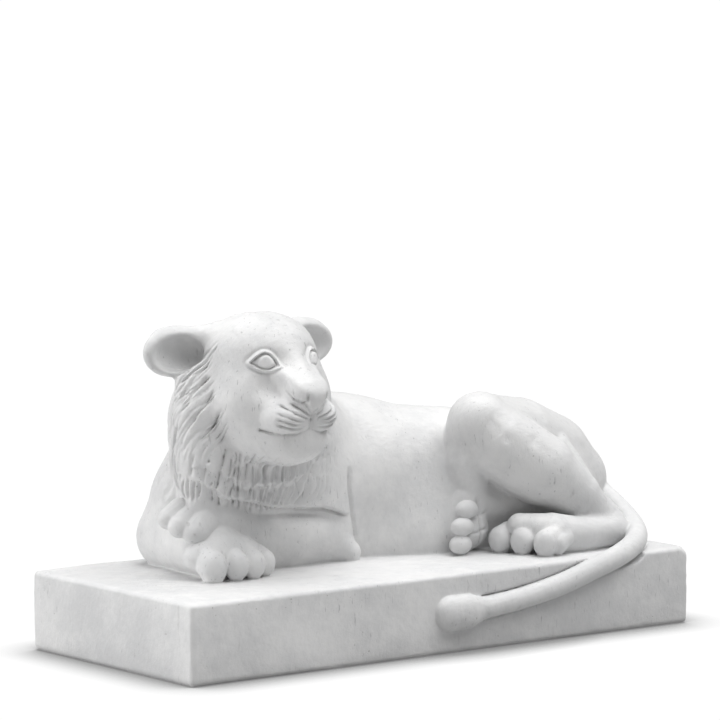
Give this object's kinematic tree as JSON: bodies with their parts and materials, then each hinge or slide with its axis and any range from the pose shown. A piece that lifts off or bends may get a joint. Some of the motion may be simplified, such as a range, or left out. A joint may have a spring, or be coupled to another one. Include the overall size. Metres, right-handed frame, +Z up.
{
  "type": "marble lion statue",
  "caption": "Recumbent lion with crossed forepaws and turned head, carved in one white marble block with its rectangular plinth.",
  "frame": {"origin": "centre of the plinth's flat underside, which rests on the floor or table", "axes": "+X along the plinth from the lion's chest towards its rump, -Y towards the long side that the face, the hind feet and the tail show on, +Z up"},
  "size_m": [0.6, 0.2805, 0.3256],
  "materials": {
    "white_marble": "honed, cool white with soft grey flecks and short veins"
  },
  "bodies": {
    "root": {"lion_on_plinth": "white_marble"}
  },
  "joints": []
}
